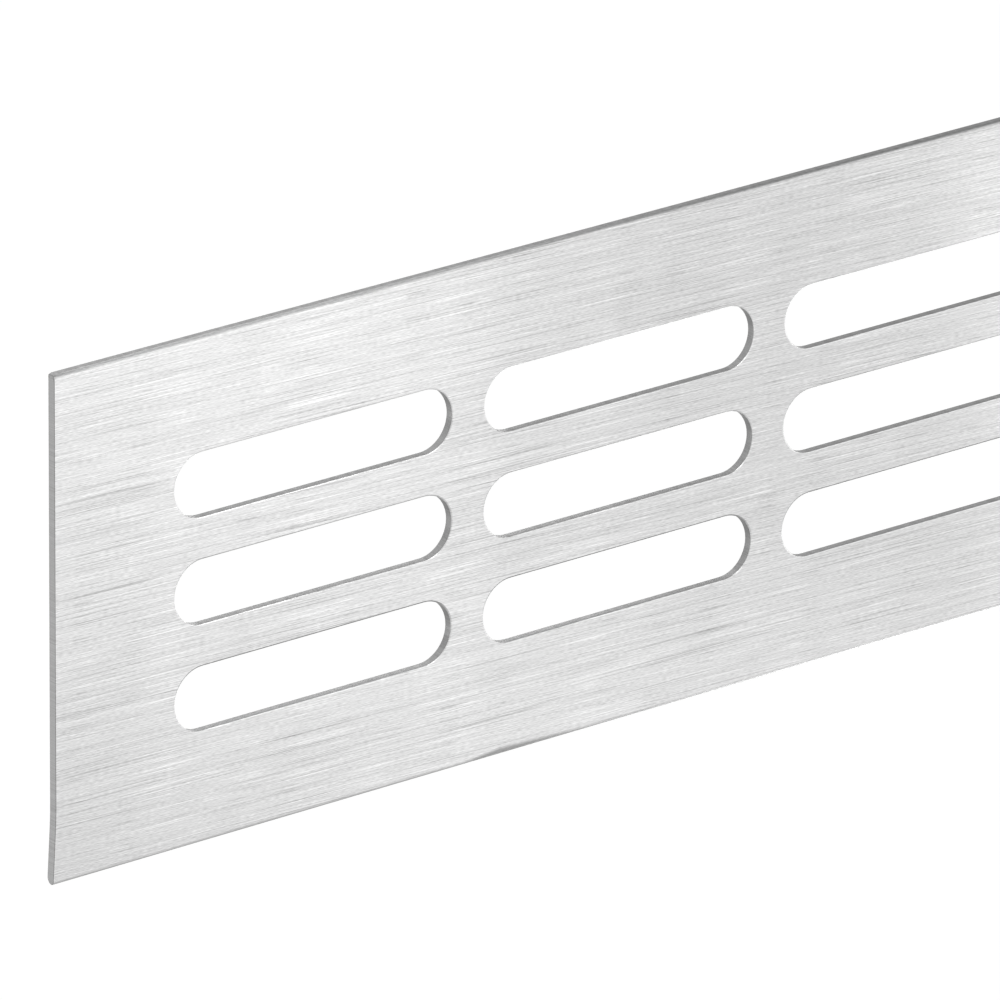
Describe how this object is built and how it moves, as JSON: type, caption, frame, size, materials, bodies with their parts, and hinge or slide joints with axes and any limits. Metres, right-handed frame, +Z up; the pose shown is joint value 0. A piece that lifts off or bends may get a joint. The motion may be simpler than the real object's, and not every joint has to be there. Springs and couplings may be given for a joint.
{
  "type": "ventilation grille",
  "caption": "Flat aluminium ventilation grille: a long brushed strip with rows of round-ended air slots and rounded long edges.",
  "frame": {"origin": "middle of the flat back face, halfway along the length and halfway up the plate", "axes": "+X along the length, +Y out of the back face towards what the grille is fixed to, +Z up across the width; the brushed front looks along -Y"},
  "size_m": [0.5, 0.0022, 0.08],
  "materials": {
    "brushed_aluminium": "brushed along the length, natural satin silver, with matt cut edges"
  },
  "bodies": {
    "root": {"grille_plate": "brushed_aluminium"}
  },
  "joints": []
}
